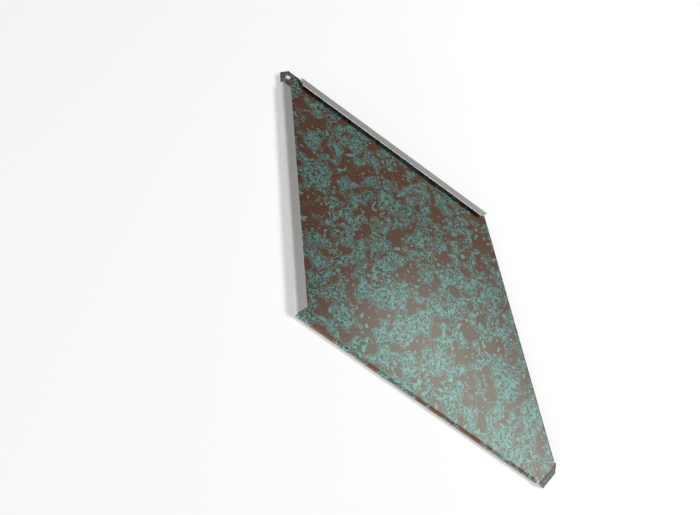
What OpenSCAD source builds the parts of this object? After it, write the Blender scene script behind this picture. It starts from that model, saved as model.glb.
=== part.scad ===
// Diamond roof slate, folded from one piece of coated sheet metal.
//
// The sheet lies in the XY plane with its weather face up, at z = 0.
// +Y runs up the roof slope, along the long diagonal, to the nail tab.
// The origin is the centre of the nail hole, on the weather face.
// The two upper sides are folded up and over the weather face, and the two
// lower sides down and under the back, so that each slate hooks onto its
// neighbours. The lower tip ends in a short tongue bent down at a crease.

/* [Sheet] */
// Thickness of the sheet with its coats
sheet_t = 0.6; // [0.5:0.05:0.8]

/* [Diamond] */
// Width over the folds, from corner to corner
diamond_w = 300; // [240:1:360]
// Length over the folds, between the points where the sides would meet
diamond_l = 600; // [480:1:720]

/* [Hems] */
// Width of a hem, from the outside of its fold to its free edge
hem_w = 11.5; // [9:0.5:15]
// Inside radius of the half-round fold
fold_r = 2.6; // [2.2:0.1:3.2]
// Distance of the upper hems from the top point, measured down the slate
hem_top = 30.5; // [27:0.5:40]
// Length of flat edge between a lower hem and the crease, measured down the slate
hem_gap = 2; // [1.5:0.5:5]
// Width of the relief slit sheared beside each end of a fold
relief_w = 0.5; // [0.3:0.1:0.8]

/* [Nail tab] */
// Distance from the top point to the square end of the tab
tab_cut = 13; // [10:0.5:16]
// Distance from the end of the tab to the centre of the nail hole
hole_inset = 10; // [8:0.5:12]
// Diameter of the nail hole
hole_d = 6; // [4:0.5:8]

/* [Tongue] */
// Distance from the bottom point to the crease
crease_h = 33.5; // [28:0.5:45]
// Length of the tongue along the sheet, from the crease to its square end
tongue_l = 10; // [6:0.5:11]
// Angle that the tongue is bent down by
tongue_angle = 30; // [15:1:35]
// Inside radius of the crease
crease_r = 0.6; // [0.4:0.1:1.5]

/* [Hidden] */
$fn = 64;

lap = 1;                                  // cutting tools reach this far past the sheet
half_w = diamond_w / 2;
half_l = diamond_l / 2;
side_l = norm([half_w, half_l]);
side_angle = atan2(half_l, half_w);       // of a side, from the cross diagonal
fold_out = fold_r + sheet_t;              // outside radius of a fold
fold_h = 2 * fold_out;                    // height of a hem over its fold
tab_y = half_l - tab_cut;
hole_y = tab_y - hole_inset;
crease_y = half_l - crease_h;             // below the cross diagonal
upper_hem_l = (half_l - hem_top) / sin(side_angle);
lower_hem_l = (crease_y - hem_gap) / sin(side_angle);
crease_out = crease_r + sheet_t;
crease_arc = (crease_r + sheet_t / 2) * tongue_angle * PI / 180;
tongue_flat = tongue_l - crease_arc;
tongue_reach = crease_out * sin(tongue_angle) + tongue_flat * cos(tongue_angle);

// Half the width of the diamond at a distance from its top or bottom point.
function half_width(d) = d * half_w / half_l;

// A side has its own axes: x runs in from the outside of its fold, y runs
// from the side corner to the point, z is up.
module on_side() {
    translate([-half_w, 0, 0]) rotate([0, 0, side_angle - 90]) children();
}

module upper_sides() {
    on_side() children();
    mirror([1, 0, 0]) on_side() children();
}

module lower_sides() {
    mirror([0, 1, 0]) upper_sides() children();
}

// Where a hem's strip begins, at a distance x in from its fold: mitred along
// the cross diagonal. It ends on a cut parallel to the slate's other side.
function mitre(x) = x / tan(side_angle);
function end_cut(x, hem_l) = hem_l + x / tan(2 * side_angle);

// Plan of a hem's strip between two distances from its fold, shortened by
// a relief slit at its end and half of one, shared by two hems, at its mitre.
module hem_plan(from, to, hem_l, slit) {
    polygon([
        [from, mitre(from) + slit / 2],
        [to, mitre(to) + slit / 2],
        [to, end_cut(to, hem_l) - slit],
        [from, end_cut(from, hem_l) - slit],
    ]);
}

// The U of a hem, square to its fold: a leg in the flat sheet, the
// half-round fold, and the flap that comes back over the sheet.
module hem_section() {
    translate([fold_out, fold_out - sheet_t])
        difference() {
            union() {
                circle(r = fold_out);
                translate([0, -fold_out]) square([hem_w - fold_out, fold_h]);
            }
            circle(r = fold_r);
            translate([0, -fold_r]) square([hem_w, 2 * fold_r]);
        }
}

module hem(hem_l) {
    intersection() {
        translate([0, side_l, 0])
            rotate([90, 0, 0])
            linear_extrude(height = side_l)
            hem_section();
        translate([0, 0, -fold_h])
            linear_extrude(height = 2 * fold_h)
            hem_plan(-lap, hem_w + lap, hem_l, relief_w);
    }
}

// Plan of the sheet that stays flat, from the tab's end to the crease.
module flat_plan() {
    difference() {
        polygon([
            [half_width(tab_cut), tab_y],
            [half_w, 0],
            [half_width(crease_h), -crease_y],
            [-half_width(crease_h), -crease_y],
            [-half_w, 0],
            [-half_width(tab_cut), tab_y],
        ]);
        upper_sides() hem_plan(-lap, fold_out, upper_hem_l, 0);
        lower_sides() hem_plan(-lap, fold_out, lower_hem_l, 0);
        translate([0, hole_y]) circle(d = hole_d);
    }
}

// The crease and the tongue from the side: x runs down the slate, y is up.
module tongue_section() {
    translate([-lap, -sheet_t]) square([lap, sheet_t]);
    translate([0, -crease_out]) {
        intersection() {
            difference() {
                circle(r = crease_out);
                circle(r = crease_r);
            }
            polygon([[0, 0], [0, fold_h], [fold_h * tan(tongue_angle), fold_h]]);
        }
        rotate(-tongue_angle) translate([0, crease_r]) square([tongue_flat, sheet_t]);
    }
}

module tongue() {
    root = half_width(crease_h + lap);
    crease = half_width(crease_h);
    tip = half_width(crease_h - tongue_l);
    translate([0, -crease_y, 0])
        intersection() {
            rotate([90, 0, -90])
                linear_extrude(height = 2 * root, center = true)
                tongue_section();
            translate([0, 0, -fold_h])
                linear_extrude(height = 2 * fold_h)
                polygon([
                    [-root, lap], [-crease, 0], [-tip, -tongue_reach],
                    [tip, -tongue_reach], [crease, 0], [root, lap],
                ]);
        }
}

module folded_sheet() {
    color([0.52, 0.60, 0.54])
        translate([0, -hole_y, 0]) {
            translate([0, 0, -sheet_t]) linear_extrude(height = sheet_t) flat_plan();
            upper_sides() hem(upper_hem_l);
            lower_sides() translate([0, 0, -sheet_t]) mirror([0, 0, 1]) hem(lower_hem_l);
            tongue();
        }
}

folded_sheet();
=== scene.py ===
import math
import bmesh
import bpy
from mathutils import Matrix, Vector


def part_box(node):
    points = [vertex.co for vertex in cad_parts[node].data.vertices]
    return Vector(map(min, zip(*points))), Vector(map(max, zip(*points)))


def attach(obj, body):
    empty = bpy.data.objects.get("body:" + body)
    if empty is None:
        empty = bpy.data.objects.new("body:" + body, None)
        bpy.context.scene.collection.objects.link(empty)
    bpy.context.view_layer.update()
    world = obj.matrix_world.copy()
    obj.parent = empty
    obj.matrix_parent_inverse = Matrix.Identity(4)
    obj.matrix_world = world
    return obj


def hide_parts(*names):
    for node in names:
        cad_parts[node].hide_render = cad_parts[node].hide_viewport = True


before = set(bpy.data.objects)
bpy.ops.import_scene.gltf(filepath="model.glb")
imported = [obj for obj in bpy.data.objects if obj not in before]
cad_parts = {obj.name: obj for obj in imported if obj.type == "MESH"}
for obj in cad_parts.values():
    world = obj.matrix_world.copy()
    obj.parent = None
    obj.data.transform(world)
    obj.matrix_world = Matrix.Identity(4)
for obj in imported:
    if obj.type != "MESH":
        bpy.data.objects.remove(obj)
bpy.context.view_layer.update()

# ---- Folded sheet ----
# The whole slate is one diamond of 0.6 mm steel, coated on both sides and then sheared.
# Its two upper sides are folded up over the weather face and its two lower sides down
# under the back, each as an open U, and the tongue at the foot is bent down at a crease.
sheet_t = 0.0006
diamond_w = 0.300        # over the folds, side corner to side corner
diamond_l = 0.600        # as if both its ends were left pointed
hem_w = 0.0115           # from the outside of the bend to the free edge
fold_r = 0.0026          # inside the bend
hem_top = 0.0305         # from the upper point down to the upper hems
hem_gap = 0.0007         # from the crease up to the lower hems' slits
relief_w = 0.0005        # slit at the end of a fold
tab_cut = 0.013          # from the upper point down to the tab's square end
hole_inset = 0.010       # from the tab's end to the middle of the hole
hole_d = 0.006
crease_h = 0.0335        # from the lower point up to the crease
tongue_l = 0.010
tongue_angle = math.radians(30)
crease_r = 0.0006

fold_steps = 24          # facets in a half-round fold
crease_steps = 4         # facets in the crease
hole_sides = 48
border = 0.0003          # flat strip beside a fold, where its smooth shading ends
edge_round = 0.0002
smooth_angle = math.radians(20)
sharp_angle = math.radians(60)
touch = 1e-6             # two points nearer than this are in the same place

# The middle of the nail hole is at the origin, and the sheet's weather face at zero height.
side_angle = math.atan2(diamond_l, diamond_w)
fold_out = fold_r + sheet_t
mid_z = -sheet_t / 2
middle = Vector((0, tab_cut + hole_inset - diamond_l / 2, mid_z))
crease_y = middle.y - diamond_l / 2 + crease_h
upper_hem_l = (diamond_l / 2 - hem_top) / math.sin(side_angle)
lower_hem_l = (diamond_l / 2 - crease_h - hem_gap) / math.sin(side_angle)
fold_step = 2 * (fold_r + sheet_t / 2) * math.sin(math.pi / fold_steps / 2)
crease_step = 2 * (crease_r + sheet_t / 2) * math.sin(tongue_angle / crease_steps / 2)


class Side:
    """One side of the diamond: across is -1 on the left, up is 1 for an upper side.

    Out faces away from the diamond, along runs from the side corner to the hem's end, and
    end_out faces past the cut there. Inset and reach are measured against out and along.
    """

    def __init__(self, across, up, hem_l):
        self.across = across
        self.up = up
        self.hem_l = hem_l
        self.corner = middle + Vector((across * diamond_w / 2, 0, 0))
        self.out = Vector((across * math.sin(side_angle), up * math.cos(side_angle), 0))
        self.along = Vector((-across * math.cos(side_angle), up * math.sin(side_angle), 0))
        self.end_out = Vector((-self.out.x, self.out.y, 0)) if up > 0 else self.along

    def point(self, inset, reach):
        return self.corner - self.out * inset + self.along * reach

    def inset(self, place):
        return (self.corner - place).dot(self.out)

    def reach(self, place):
        return (place - self.corner).dot(self.along)


sides = [
    Side(-1, 1, upper_hem_l),
    Side(1, 1, upper_hem_l),
    Side(-1, -1, lower_hem_l),
    Side(1, -1, lower_hem_l),
]


def pick(kind, wanted):
    """Selects the sheet's faces, edges or vertices that a test accepts, and nothing else."""
    bpy.ops.mesh.select_mode(type=kind)
    bpy.ops.mesh.select_all(action="DESELECT")
    shape = bmesh.from_edit_mesh(sheet.data)
    for item in {"VERT": shape.verts, "EDGE": shape.edges, "FACE": shape.faces}[kind]:
        if wanted(item):
            item.select_set(True)
    bmesh.update_edit_mesh(sheet.data)


def pick_faces(wanted):
    pick("FACE", lambda face: wanted(face.calc_center_median()))


def pick_all():
    bpy.ops.mesh.select_all(action="SELECT")


# The blank starts as the diamond over the folds, and is sheared to its outline.
bpy.ops.object.select_all(action="DESELECT")
bpy.ops.mesh.primitive_circle_add(
    vertices=4, radius=diamond_l / 2, fill_type="NGON", location=middle
)
sheet = bpy.context.object
sheet.name = "slate_sheet"
bpy.ops.object.transform_apply(location=True, rotation=True, scale=True)
bpy.ops.object.mode_set(mode="EDIT")
pick_all()
bpy.ops.transform.resize(value=(diamond_w / diamond_l, 1, 1), center_override=middle)
pick_all()
bpy.ops.mesh.bisect(plane_co=(0, hole_inset, mid_z), plane_no=(0, 1, 0), clear_outer=True)
pick_all()
bpy.ops.mesh.bisect(
    plane_co=(0, crease_y - tongue_l, mid_z), plane_no=(0, -1, 0), clear_outer=True
)
for side in sides:
    hem_end = side.point(0, side.hem_l)
    pick_all()
    bpy.ops.mesh.bisect(plane_co=side.point(fold_out, 0), plane_no=side.out)
    pick_faces(lambda p: side.inset(p) < fold_out)
    bpy.ops.mesh.bisect(plane_co=hem_end, plane_no=side.end_out)
    pick_faces(
        lambda p: side.inset(p) < fold_out
        and (p - hem_end).dot(side.end_out) < 0
        and (p.y - middle.y) * side.up > -touch
    )
    bpy.ops.mesh.delete(type="FACE")
pick_all()
bpy.ops.mesh.dissolve_limited(angle_limit=smooth_angle)

# The nail hole is punched in the end of the tab.
pick_all()
bpy.ops.mesh.bisect(plane_co=(0, -hole_inset, mid_z), plane_no=(0, 1, 0))
pick_all()
bpy.ops.mesh.bisect(plane_co=(0, crease_y, mid_z), plane_no=(0, 1, 0))
pick_faces(lambda p: p.y > -hole_inset)
bpy.ops.mesh.delete(type="ONLY_FACE")
bpy.ops.mesh.primitive_circle_add(
    vertices=hole_sides, radius=hole_d / 2, fill_type="NOTHING", location=(0, 0, mid_z)
)
pick("EDGE", lambda edge: all(v.co.y > -hole_inset - touch for v in edge.verts))
bpy.ops.mesh.fill(use_beauty=True)

# A narrow border round the panel keeps the flat of it flat beside the folds.
pick_faces(lambda p: crease_y < p.y < -hole_inset)
bpy.ops.mesh.inset(thickness=border)

# Each hem is drawn out flat from its fold line, row by row, with ends left long.
hem_rows = []
row_widths = [fold_step] * fold_steps + [border, hem_w - fold_out - border]
for side in sides:
    pick(
        "EDGE",
        lambda edge: edge.is_boundary
        and all(abs(side.inset(v.co) - fold_out) < touch for v in edge.verts),
    )
    rows = []
    for width in [0] + row_widths:
        if rows:
            bpy.ops.mesh.extrude_edges_move(TRANSFORM_OT_translate={"value": side.out * width})
        shape = bmesh.from_edit_mesh(sheet.data)
        shape.verts.index_update()
        ends = [v for v in shape.verts if v.select]
        if len(rows) == 1:
            for end in ends:
                beyond = math.copysign(fold_out, side.reach(end.co) - side.hem_l / 2)
                end.co += side.along * beyond
        rows.append([v.index for v in ends])
    hem_rows.append(rows)

# The print lies on the flat blank, so its map is made before anything is folded.
bpy.ops.object.mode_set(mode="OBJECT")
if not sheet.data.uv_layers:
    sheet.data.uv_layers.new()
blank_map = sheet.data.uv_layers[0]
blank_map.name = "flat_blank"
for loop in sheet.data.loops:
    blank_map.data[loop.index].uv = sheet.data.vertices[loop.vertex_index].co.xy
bpy.ops.object.mode_set(mode="EDIT")

# Each side in turn is laid along X and its hem folded, from the free edge inwards.
for side, rows in zip(sides, hem_rows):
    turn = math.pi / 2 - math.atan2(side.out.y, side.out.x)
    pick_all()
    bpy.ops.transform.rotate(value=-turn, orient_axis="Z", center_override=side.corner)
    folded = set(rows[-1] + rows[-2])
    for row in range(fold_steps, -1, -1):
        bend = side.up * math.pi / fold_steps
        if row in (0, fold_steps):
            bend = bend / 2
        shape = bmesh.from_edit_mesh(sheet.data)
        shape.verts.ensure_lookup_table()
        hinge = shape.verts[rows[row][0]].co.copy()
        pick("VERT", lambda v: v.index in folded)
        bpy.ops.transform.rotate(value=-bend, orient_axis="X", center_override=hinge)
        folded.update(rows[row])
    pick_all()
    bpy.ops.transform.rotate(value=turn, orient_axis="Z", center_override=side.corner)

# The long ends are cut back: mitred at the side corners, parallel to the diamond's other
# side at the tab, and square to the fold beside the tongue.
for side in sides:
    mitre = (side.point(0, relief_w / 2), Vector((0, -side.up, 0)))
    end_cut = (side.point(0, side.hem_l - relief_w), side.end_out)
    for place, outwards in (mitre, end_cut):
        def in_hem(p):
            return (p.z - mid_z) * side.up > touch and p.x * side.across > 0

        pick_faces(in_hem)
        bpy.ops.mesh.bisect(plane_co=place, plane_no=outwards)
        pick_faces(lambda p: in_hem(p) and (p - place).dot(outwards) > 0)
        bpy.ops.mesh.delete(type="FACE")

# The tongue is bent down at the crease, from its last row of facets back to its first.
crease_lines = [crease_y - row * crease_step for row in range(crease_steps + 1)]
for line_y in crease_lines[1:] + [crease_lines[-1] - border]:
    pick_faces(lambda p: p.y < crease_y)
    bpy.ops.mesh.bisect(plane_co=(0, line_y, mid_z), plane_no=(0, 1, 0))
for row in range(crease_steps, -1, -1):
    bend = tongue_angle / crease_steps
    if row in (0, crease_steps):
        bend = bend / 2
    pick("VERT", lambda v: v.co.y < crease_lines[row] - touch)
    bpy.ops.transform.rotate(
        value=-bend, orient_axis="X", center_override=(0, crease_lines[row], mid_z)
    )
bpy.ops.object.mode_set(mode="OBJECT")

# The sheet gets its thickness, with one coat on each face and bare metal where it is cut.
thickness = sheet.modifiers.new("sheet_thickness", "SOLIDIFY")
thickness.thickness = sheet_t
thickness.offset = 0
thickness.use_even_offset = True
thickness.material_offset = 1
thickness.material_offset_rim = 2
for name in ("verdigris_print", "back_coat", "cut_edge"):
    sheet.data.materials.append(bpy.data.materials.new(name))
bpy.ops.object.modifier_apply(modifier=thickness.name)

# The sheared edges are slightly rounded.
bpy.ops.object.mode_set(mode="EDIT")
pick("EDGE", lambda edge: edge.calc_face_angle(0) > sharp_angle)
bpy.ops.mesh.bevel(offset=edge_round, segments=2, material=2)
bpy.ops.object.mode_set(mode="OBJECT")
bpy.ops.object.shade_smooth_by_angle(angle=smooth_angle)

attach(sheet, "root")
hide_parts("folded_sheet")


class Shader:
    """Adds nodes to the shader of a material."""

    def __init__(self, mat):
        mat.use_nodes = True
        self.tree = mat.node_tree
        self.surface = self.tree.nodes["Principled BSDF"]

    def add(self, kind, inputs, **settings):
        """Adds a node. An input given a socket is linked to it, and any other is set."""
        made = self.tree.nodes.new("ShaderNode" + kind)
        for name, value in settings.items():
            setattr(made, name, value)
        for name, value in inputs.items():
            if isinstance(value, bpy.types.NodeSocket):
                self.tree.links.new(value, made.inputs[name])
            else:
                made.inputs[name].default_value = value
        return made

    def maths(self, operation, *values, clamp=False):
        made = self.add("Math", dict(enumerate(values)), operation=operation, use_clamp=clamp)
        return made.outputs[0]

    def vector(self, operation, *values):
        return self.add("VectorMath", dict(enumerate(values)), operation=operation).outputs[0]

    def noise(self, place, size, detail, out="Fac"):
        inputs = {"Vector": place, "Scale": 1 / size, "Detail": detail, "Roughness": 0.45}
        return self.add("TexNoise", inputs).outputs[out]

    def centred(self, value, amount):
        """Turns a noise into one that swings by half the amount either side of zero."""
        return self.maths("MULTIPLY_ADD", value, amount, -amount / 2)

    def warped(self, place, size, reach):
        """Pushes places about, by half the reach at most, so that shapes on them wander."""
        push = self.vector("SUBTRACT", self.noise(place, size, 1, "Color"), (0.5, 0.5, 0.5))
        push = self.vector("MULTIPLY", push, (reach, reach, reach))
        return self.vector("ADD", place, push)

    def above(self, value, edge, soft):
        """One above an edge and zero below it, with a soft step of that width between."""
        value = self.maths("SUBTRACT", value, edge)
        return self.maths("MULTIPLY_ADD", value, 1 / soft, 0.5, clamp=True)

    def between(self, value, low, high, soft):
        below = self.above(value, high, soft)
        return self.maths("SUBTRACT", self.above(value, low, soft), below, clamp=True)

    def mixed(self, share, under, over):
        """Lays one colour over another."""
        return self.add("MixRGB", {"Fac": share, "Color1": under, "Color2": over}).outputs[0]


def screen_colour(red, green, blue):
    """A colour named by its 0-255 screen values."""
    linear = [((value / 255 + 0.055) / 1.055) ** 2.4 for value in (red, green, blue)]
    return (*linear, 1)


# The weather face has a print of brown copper that verdigris has begun to cover.
brown = screen_colour(91, 63, 50)
verdigris = screen_colour(100, 136, 129)
stained = screen_colour(70, 71, 64)

# Where the verdigris leaves the brown open and where it grows thick: millimetres across
# and up from the crossing of the diagonals, then half the width and half the height.
open_areas = [
    (-8, 234, 12, 10), (-8, 200, 24, 12), (37, 192, 9, 8), (-36, 172, 10, 15), (28, 172, 12, 7),
    (-9, 160, 10, 6), (10, 144, 9, 5), (-2, 131, 13, 7), (-18, 122, 10, 5), (20, 120, 11, 6),
    (0, 111, 10, 8), (46, 105, 7, 9), (-70, 114, 9, 8), (-68, 96, 20, 8), (-85, 80, 14, 7),
    (-74, 67, 7, 10), (-12, 70, 9, 10), (-38, 46, 8, 6), (-24, 52, 6, 8), (-62, 35, 8, 5),
    (38, 75, 6, 10), (68, 105, 8, 12), (62, 86, 12, 8), (10, 28, 13, 7), (-3, 13, 6, 12),
    (-75, 13, 8, 7), (53, 12, 6, 9), (78, 27, 9, 14), (135, 10, 12, 10), (85, -10, 16, 6),
    (45, -24, 11, 10), (73, -32, 8, 7), (95, -46, 7, 12), (93, -68, 6, 9), (112, -28, 13, 18),
    (-18, -12, 12, 5), (-6, -23, 8, 12), (-2, -45, 14, 8), (-30, -48, 9, 5), (-82, -36, 13, 14),
    (32, -62, 7, 9), (-45, -90, 12, 5), (-22, -88, 9, 6), (12, -104, 9, 14), (-5, -126, 14, 12),
    (40, -106, 12, 6), (35, -138, 14, 8), (-12, -152, 11, 11), (-17, -173, 12, 9),
    (-37, -190, 8, 7), (23, -196, 6, 5), (45, -185, 7, 9), (1, 74, 10, 8), (-67, 135, 9, 7),
    (-24, -24, 12, 10), (-102, 29, 9, 7), (-24, 222, 10, 8), (-72, -78, 10, 7),
]
thick_areas = [
    (-21, 180, 13, 15), (32, 168, 18, 20), (-45, 130, 14, 20), (-15, 109, 10, 7), (18, 103, 12, 7),
    (-15, 88, 8, 6), (22, 72, 14, 12), (78, 70, 14, 9), (-88, 64, 10, 9), (52, 59, 11, 6),
    (-99, 38, 10, 14), (-50, 28, 10, 6), (-22, 25, 10, 8), (30, 12, 11, 11), (10, -1, 7, 6),
    (-32, 3, 18, 8), (95, 42, 9, 11), (52, -8, 10, 7), (-42, -30, 27, 14), (8, -32, 6, 9),
    (-52, -69, 38, 11), (42, -47, 16, 12), (8, -74, 20, 10), (80, -88, 14, 12), (-42, -112, 22, 12),
    (-72, -100, 12, 10), (0, -104, 5, 9), (60, -130, 14, 8), (27, -163, 13, 12),
    (20, -185, 14, 11), (6, -230, 16, 12), (-24, -214, 16, 12), (26, -214, 16, 12), (2, -272, 16, 5),
    (-20, -192, 14, 9), (60, -68, 24, 9), (94, -10, 16, 11), (-108, -26, 9, 12), (-65, -14, 14, 7),
    (-47, 42, 16, 8), (20, 42, 11, 7), (40, 128, 8, 15), (0, 158, 9, 14), (-14, -152, 9, 7),
]

to_mm = (1000, 1000, 1000)
shader = Shader(sheet.data.materials["verdigris_print"])
blank_place = shader.add("UVMap", {}, uv_map="flat_blank").outputs[0]
place = shader.vector("SUBTRACT", blank_place, (0, middle.y, 0))
place = shader.vector("MULTIPLY", place, to_mm)


def patches(areas):
    """One in the middle of an area, fading to nothing a little past its edge."""
    total = None
    for x, y, half_wide, half_high in areas:
        at = shader.vector("SUBTRACT", place, (x, y, 0))
        at = shader.vector("MULTIPLY", at, (1 / half_wide, 1 / half_high, 0))
        far = shader.add("VectorMath", {0: at, 1: at}, operation="DOT_PRODUCT").outputs["Value"]
        patch = shader.maths("SUBTRACT", 1.3, far, clamp=True)
        total = patch if total is None else shader.maths("MAXIMUM", total, patch)
    return total


# The noises are cut on a slant, so that their grid doesn't show along the slate.
slant = (math.radians(50), math.radians(-24), 0)
slanted = shader.add("Mapping", {"Vector": place, "Rotation": slant}).outputs[0]


def seed(number, start=slanted):
    """The same place on another, unrelated noise."""
    return shader.vector("ADD", start, (0, 0, 100 * number))


# Growth is above zero in a clump of verdigris and below zero on the open brown. The areas
# steer it, a broad noise breaks their outlines up, and a wandering one shapes the clumps.
# Sizes are in millimetres.
area_push = 0.18
less_growth = 0.028
spots = shader.warped(shader.warped(slanted, size=20.6, reach=2.3), size=5.9, reach=0.8)
layout = shader.maths("SUBTRACT", patches(thick_areas), patches(open_areas))
layout = shader.maths("MULTIPLY", layout, area_push)
broad = shader.noise(seed(2), size=14.8, detail=1)
layout = shader.maths("ADD", layout, shader.centred(broad, amount=0.26))
clumps = shader.noise(spots, size=11.4, detail=1.55)
growth = shader.maths("ADD", shader.centred(clumps, amount=0.73), layout)
growth = shader.maths("SUBTRACT", growth, less_growth)

# Small islands lie about on the open brown.
fewer_islands = 0.27
islands = shader.noise(seed(7, spots), size=6.7, detail=0.5)
islands = shader.centred(islands, amount=0.84)
growth = shader.maths("MAXIMUM", growth, shader.maths("SUBTRACT", islands, fewer_islands))

# The middle of a clump is ringed, as growth rises through it, and mottled.
ring_rate = 78
ring_start = 1.2
ring_strength = 0.85
rings = shader.maths("SINE", shader.maths("MULTIPLY_ADD", growth, ring_rate, ring_start))
rings = shader.maths("MULTIPLY", rings, ring_strength)
mottle = shader.noise(shader.warped(seed(3), size=7, reach=4), size=3.1, detail=0)
mottle = shader.centred(mottle, amount=4.1)
mottle = shader.above(shader.maths("ADD", rings, mottle), edge=-0.02, soft=0.62)
mottle = shader.mixed(mottle, stained, verdigris)

# Some clumps are hollow, with a pale rim inside too, and show the brown again.
hollow_rim = 0.547
hollow_edge = 0.605
hollow = shader.noise(shader.warped(seed(1), size=8, reach=5), size=5.4, detail=1)
clump = shader.mixed(shader.above(hollow, hollow_edge, soft=0.02), mottle, brown)
hollow = shader.between(hollow, hollow_rim, hollow_edge, soft=0.015)
clump = shader.mixed(hollow, clump, verdigris)

# A stained line runs round inside a clump's pale rim, and a broken, fainter line follows
# some clumps round the outside.
rim_end = 0.021
stain_end = 0.053
skirt_start = -0.067
skirt_end = -0.044
skirt_strength = 0.76
clump = shader.mixed(shader.between(growth, rim_end, stain_end, soft=0.010), clump, stained)
skirt = shader.above(shader.noise(seed(9), size=8.7, detail=0), edge=0.43, soft=0.08)
outside = shader.between(growth, skirt_start, skirt_end, soft=0.012)
skirt = shader.maths("MULTIPLY", skirt, outside)
skirt = shader.maths("MULTIPLY", skirt, skirt_strength)
colour = shader.mixed(skirt, brown, verdigris)
colour = shader.mixed(shader.above(growth, edge=0, soft=0.012), colour, clump)

# The pale rims go on last, with a few thin lines that wander between the clumps and some
# small dots. The most open areas have no such lines.
veins = shader.noise(shader.warped(seed(4), size=9, reach=5), size=13.3, detail=0.5)
veins = shader.between(veins, 0.496, 0.504, soft=0.010)
veins = shader.maths("MULTIPLY", veins, shader.above(layout, edge=-0.12, soft=0.04))
dots = shader.above(shader.noise(seed(5), size=5, detail=0), edge=0.71, soft=0.03)
rims = shader.between(growth, 0, rim_end, soft=0.010)
marks = shader.maths("MAXIMUM", shader.maths("MAXIMUM", rims, veins), dots)
colour = shader.mixed(marks, colour, verdigris)

# A fine red and olive grain runs through the print.
grain_share = 0.73
grain = shader.noise(seed(6), size=1.3, detail=1, out="Color")
colour = shader.add(
    "MixRGB", {"Fac": grain_share, "Color1": colour, "Color2": grain}, blend_type="OVERLAY"
).outputs[0]
shader.tree.links.new(colour, shader.surface.inputs["Base Color"])
shader.surface.inputs["Metallic"].default_value = 0.055
shader.surface.inputs["Specular Tint"].default_value = (0.70, 1, 0.92, 1)
shader.surface.inputs["Roughness"].default_value = 0.31
shader.surface.inputs["Specular IOR Level"].default_value = 0.29

# The back has a plain light grey coat with a faint orange peel. The upper flaps show it.
peel_darkest = (0.285, 0.28, 0.275, 1)
peel_lightest = (0.335, 0.33, 0.325, 1)
back_roughness = 0.45
shader = Shader(sheet.data.materials["back_coat"])
blank_place = shader.add("UVMap", {}, uv_map="flat_blank").outputs[0]
place = shader.vector("MULTIPLY", blank_place, to_mm)
peel = shader.noise(place, size=2.2, detail=2)
coat = shader.mixed(peel, peel_darkest, peel_lightest)
shader.tree.links.new(coat, shader.surface.inputs["Base Color"])
roughness = shader.maths("ADD", shader.centred(peel, amount=0.16), back_roughness)
shader.tree.links.new(roughness, shader.surface.inputs["Roughness"])

# The sheared edges are bare metal.
shader = Shader(sheet.data.materials["cut_edge"])
shader.surface.inputs["Base Color"].default_value = (0.60, 0.60, 0.61, 1)
shader.surface.inputs["Roughness"].default_value = 0.4

# ---- Floor ----
# A plain white studio floor, level, that the slate lies on unheld, on its lower hems. It
# glows where it is seen or mirrored, so that it looks evenly pale and keeps the shadow.
floor_glow = 0.42
floor_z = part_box("folded_sheet")[0].z
bpy.ops.object.select_all(action="DESELECT")
bpy.ops.mesh.primitive_plane_add(size=8, location=(0, middle.y, floor_z))
floor = bpy.context.object
floor.name = "studio_floor"
shader = Shader(bpy.data.materials.new("white_floor"))
floor.data.materials.append(bpy.data.materials["white_floor"])
seen = shader.add("LightPath", {})
seen = shader.maths(
    "MAXIMUM",
    seen.outputs["Is Camera Ray"],
    shader.maths("MAXIMUM", seen.outputs["Is Glossy Ray"], seen.outputs["Is Transmission Ray"]),
)
glow = shader.maths("MULTIPLY", seen, floor_glow)
shader.tree.links.new(glow, shader.surface.inputs["Emission Strength"])
shader.surface.inputs["Emission Color"].default_value = (1, 1, 1, 1)
shader.surface.inputs["Base Color"].default_value = (0.60, 0.60, 0.60, 1)
shader.surface.inputs["Roughness"].default_value = 0.9
shader.surface.inputs["Specular IOR Level"].default_value = 0

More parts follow.
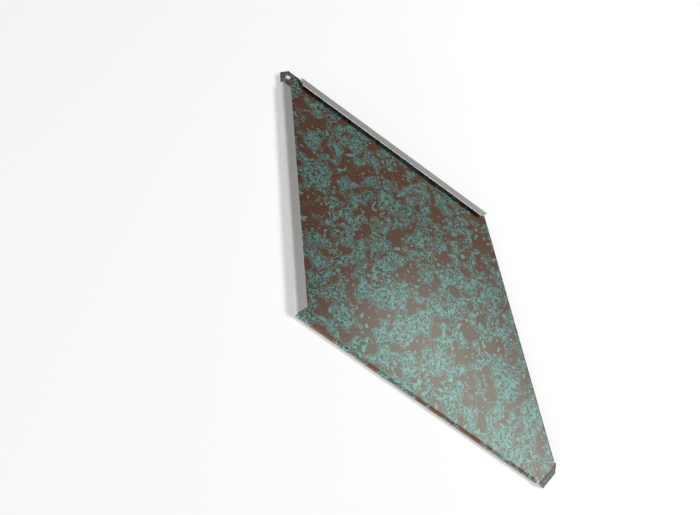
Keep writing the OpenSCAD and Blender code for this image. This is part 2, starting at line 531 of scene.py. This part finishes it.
# ---- Light ----
# A white room that is brightest low on the left and dim overhead, one big softbox off to
# the right, and a very low strip on the left that lights the cut edges.
world = bpy.data.worlds.new("studio")
bpy.context.scene.world = world
world.use_nodes = True
sky = world.node_tree
look = sky.nodes.new("ShaderNodeTexCoord")
height = sky.nodes.new("ShaderNodeVectorMath")
height.operation = "DOT_PRODUCT"
height.inputs[1].default_value = (0.3, 0, 1)    # the right side counts as a little higher
walls = sky.nodes.new("ShaderNodeMapRange")
walls.interpolation_type = "SMOOTHSTEP"
walls.inputs["From Min"].default_value = -0.05
walls.inputs["From Max"].default_value = 0.45
walls.inputs["To Min"].default_value = 1.37
walls.inputs["To Max"].default_value = 0.10
sky.links.new(look.outputs["Generated"], height.inputs[0])
sky.links.new(height.outputs["Value"], walls.inputs["Value"])
sky.links.new(walls.outputs[0], sky.nodes["Background"].inputs["Strength"])
sky.nodes["Background"].inputs["Color"].default_value = (1, 1, 1, 1)


def softbox(name, place, aim, size, power, turn):
    """An oblong area lamp that faces a point, turned in its own plane."""
    lamp = bpy.data.lights.new(name, "AREA")
    lamp.shape = "RECTANGLE"
    lamp.size, lamp.size_y = size
    lamp.energy = power
    box = bpy.data.objects.new(name, lamp)
    bpy.context.scene.collection.objects.link(box)
    box.location = place
    facing = (Vector(aim) - Vector(place)).to_track_quat("-Z", "Y").to_matrix()
    box.rotation_euler = (facing @ Matrix.Rotation(turn, 3, "Z")).to_euler()


softbox(
    "key_softbox",
    place=(1.325, middle.y - 0.785, 2.2),
    aim=(0, middle.y, 0),
    size=(1.93, 0.79),
    power=67,
    turn=math.radians(32),
)
softbox(
    "fill_softbox",
    place=(-1.7, middle.y, 0.05),
    aim=(0, middle.y, 0),
    size=(1.4, 0.1),
    power=44,
    turn=0,
)

# ---- Camera ----
# It looks down on the slate from beside its left corner, turned so that the tab comes at
# the top, with a wide lens that takes the whole slate in.
camera = bpy.data.objects.new("camera", bpy.data.cameras.new("camera"))
bpy.context.scene.collection.objects.link(camera)
camera.location = (-0.2794, middle.y - 0.0550, 0.3661)
camera.rotation_euler = [math.radians(a) for a in (25.761, -20.122, -33.576)]
camera.data.lens = 20.5
camera.data.sensor_width = 36
bpy.context.scene.camera = camera
bpy.context.scene.view_settings.view_transform = "Standard"
